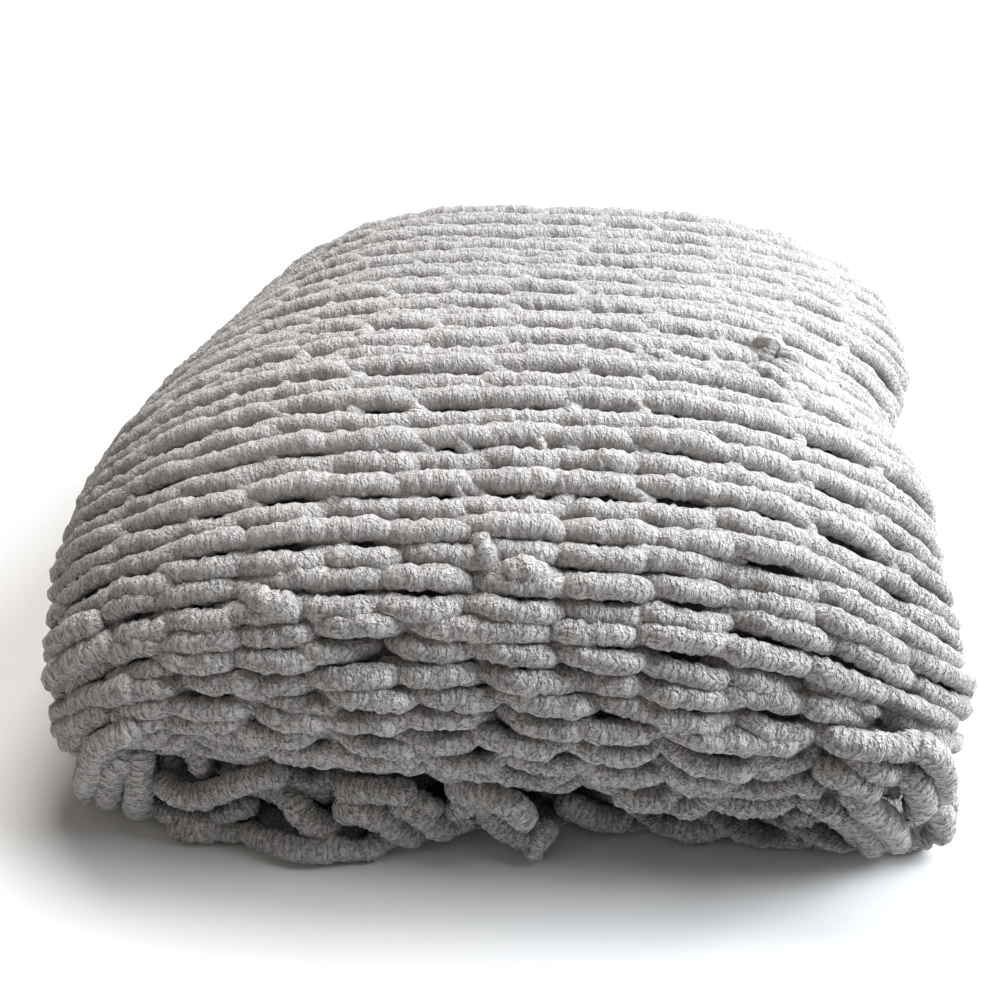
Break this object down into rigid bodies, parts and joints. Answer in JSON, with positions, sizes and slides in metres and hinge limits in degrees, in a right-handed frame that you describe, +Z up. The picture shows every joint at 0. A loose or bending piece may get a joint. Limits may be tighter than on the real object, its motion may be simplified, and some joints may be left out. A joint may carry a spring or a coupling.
{
  "type": "folded chunky knit blanket",
  "caption": "Thick chenille knit blanket, doubled across its width and rolled up front to back into a low domed bundle with ribs of knit running across it.",
  "frame": {"origin": "middle of the footprint, on the surface the blanket lies on", "axes": "+Z up, X along the rows of knit with the open edges at +X, -Y the rounded front where the top layer rolls under"},
  "size_m": [0.61, 0.5482, 0.2813],
  "materials": {
    "chenille": "matt grey chenille yarn with a short pile"
  },
  "bodies": {
    "root": {"blanket": "chenille"}
  },
  "joints": []
}
